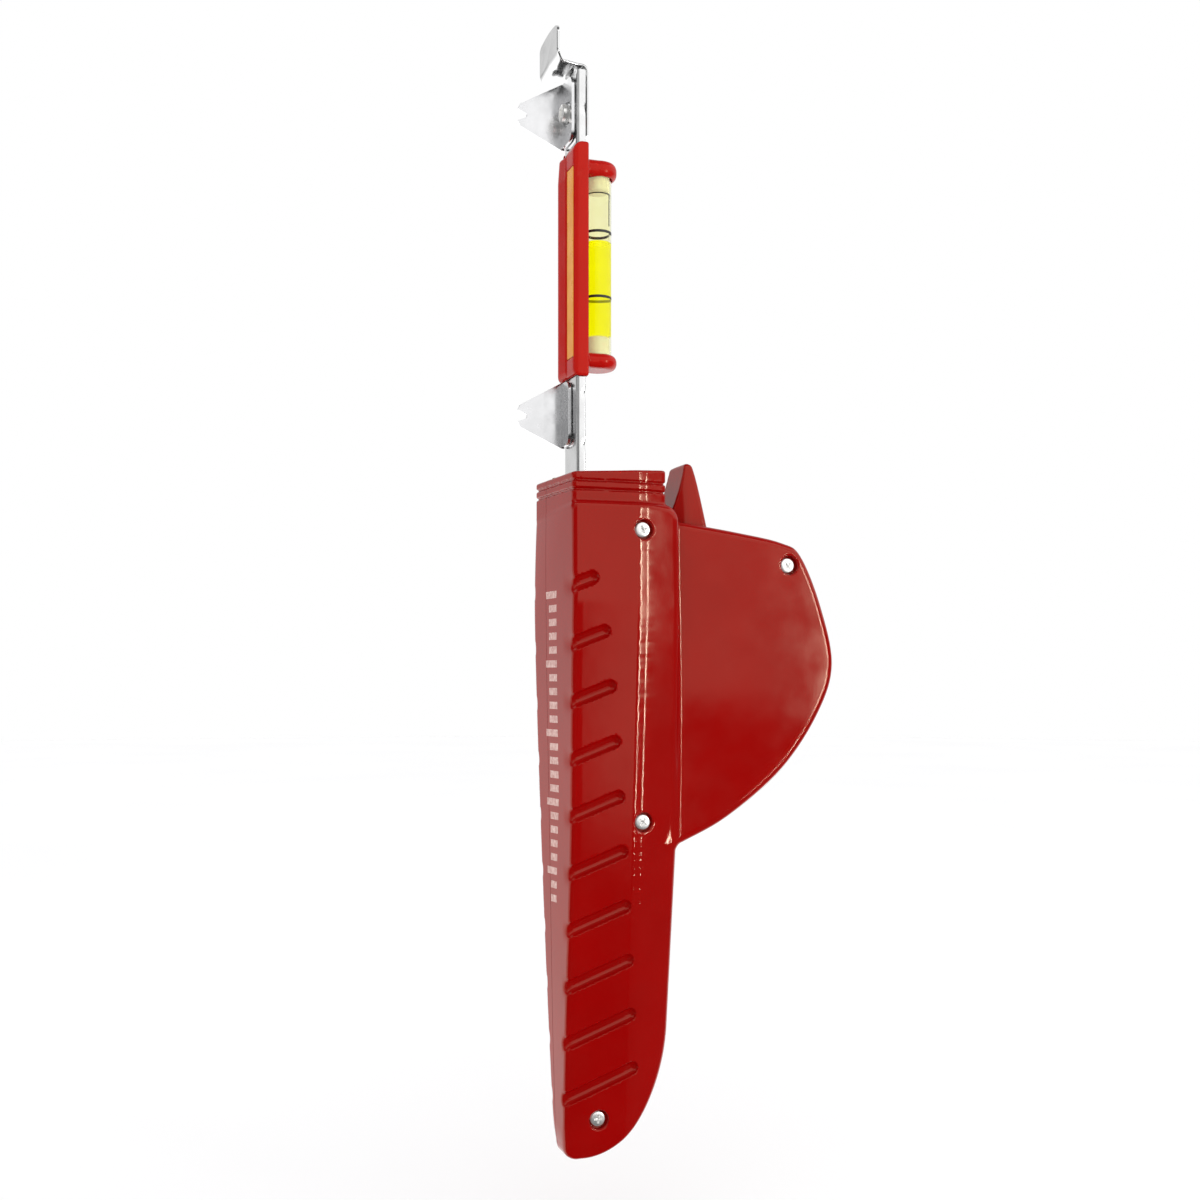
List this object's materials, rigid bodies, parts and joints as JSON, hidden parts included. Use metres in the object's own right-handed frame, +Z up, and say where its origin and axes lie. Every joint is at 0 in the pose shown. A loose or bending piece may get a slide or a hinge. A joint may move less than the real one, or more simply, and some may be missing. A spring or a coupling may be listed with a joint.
{
  "type": "chalk line reel",
  "caption": "Hand-held marking-line reel: two-shell grip with a line reel and thumb lock, and a steel arm with notched line guides, a bubble level and a hook.",
  "frame": {"origin": "middle of the front face of the hook's tab, where the tool is hung or hooked on", "axes": "+Z up along the arm, +X from the grip's flat front back towards the reel housing, +Y from the screw side to the crank side"},
  "size_m": [0.0999, 0.045, 0.3417],
  "materials": {
    "case": "glossy moulded plastic",
    "steel": "plated, polished",
    "screw": "plated",
    "saddle": "satin",
    "vial": "clear acrylic",
    "liquid": "fluorescent yellow liquid",
    "plug": "moulded",
    "amber": "gloss",
    "black": "moulded",
    "spool": "moulded",
    "brass": "turned",
    "line": "braided",
    "felt": "felt",
    "sponge": "open-cell, inked",
    "rubber": "moulded"
  },
  "bodies": {
    "tool": {"near_shell": "case", "far_shell": "case", "arm": "steel", "top_hook": "steel", "upper_line_guide": "steel", "lower_line_guide": "steel", "arm_block": "steel", "roller_pin": "steel", "lever_pin": "steel", "lever_spring": "steel", "case_screw_1": "screw", "case_screw_2": "screw", "case_screw_3": "screw", "case_screw_4": "screw", "anchor_screw": "screw", "anchor_washer": "screw", "anchor_nut": "screw", "arm_screw_1": "screw", "arm_screw_2": "screw", "level_saddle": "saddle", "vial_tube": "vial", "vial_liquid": "liquid", "vial_plug_1": "plug", "vial_plug_2": "plug", "amber_strip": "amber", "line_eyelet": "brass", "near_bush": "brass", "far_bush": "brass", "felt_pad_1": "felt", "felt_pad_2": "felt", "ink_sponge": "sponge"},
    "reel": {"spool": "spool", "wound_line": "line", "ratchet_wheel": "steel", "axle": "steel", "spring_washer": "steel", "crank_arm": "steel", "crank_screw": "screw", "knob_rivet": "steel"},
    "crank_knob": {"crank_knob": "black"},
    "lock_lever": {"lock_lever": "case"},
    "filler_plug": {"filler_plug": "rubber"},
    "guide_roller": {"guide_roller": "black"}
  },
  "joints": [
    {"name": "reel_spin", "type": "hinge", "parent": "tool", "child": "reel", "pos_m": [0.0614, 0, -0.1855], "axis": [0, 1, 0], "continuous": true},
    {"name": "crank_knob_spin", "type": "hinge", "parent": "reel", "child": "crank_knob", "pos_m": [0.0614, 0, -0.2035], "axis": [0, 1, 0], "continuous": true},
    {"name": "lock_lever_pivot", "type": "hinge", "parent": "tool", "child": "lock_lever", "pos_m": [0.0431, 0, -0.1525], "axis": [0, 1, 0], "range_deg": [0, 8], "stiffness_Nm_per_rad": 0.15, "springref_deg": -8.02, "deforming": ["lever_spring"]},
    {"name": "filler_plug_pull", "type": "slide", "parent": "tool", "child": "filler_plug", "axis": [0, 1, 0], "range_m": [0, 0.008]},
    {"name": "guide_roller_spin", "type": "hinge", "parent": "tool", "child": "guide_roller", "pos_m": [0.0099, 0, -0.1815], "axis": [0, 1, 0], "continuous": true}
  ]
}
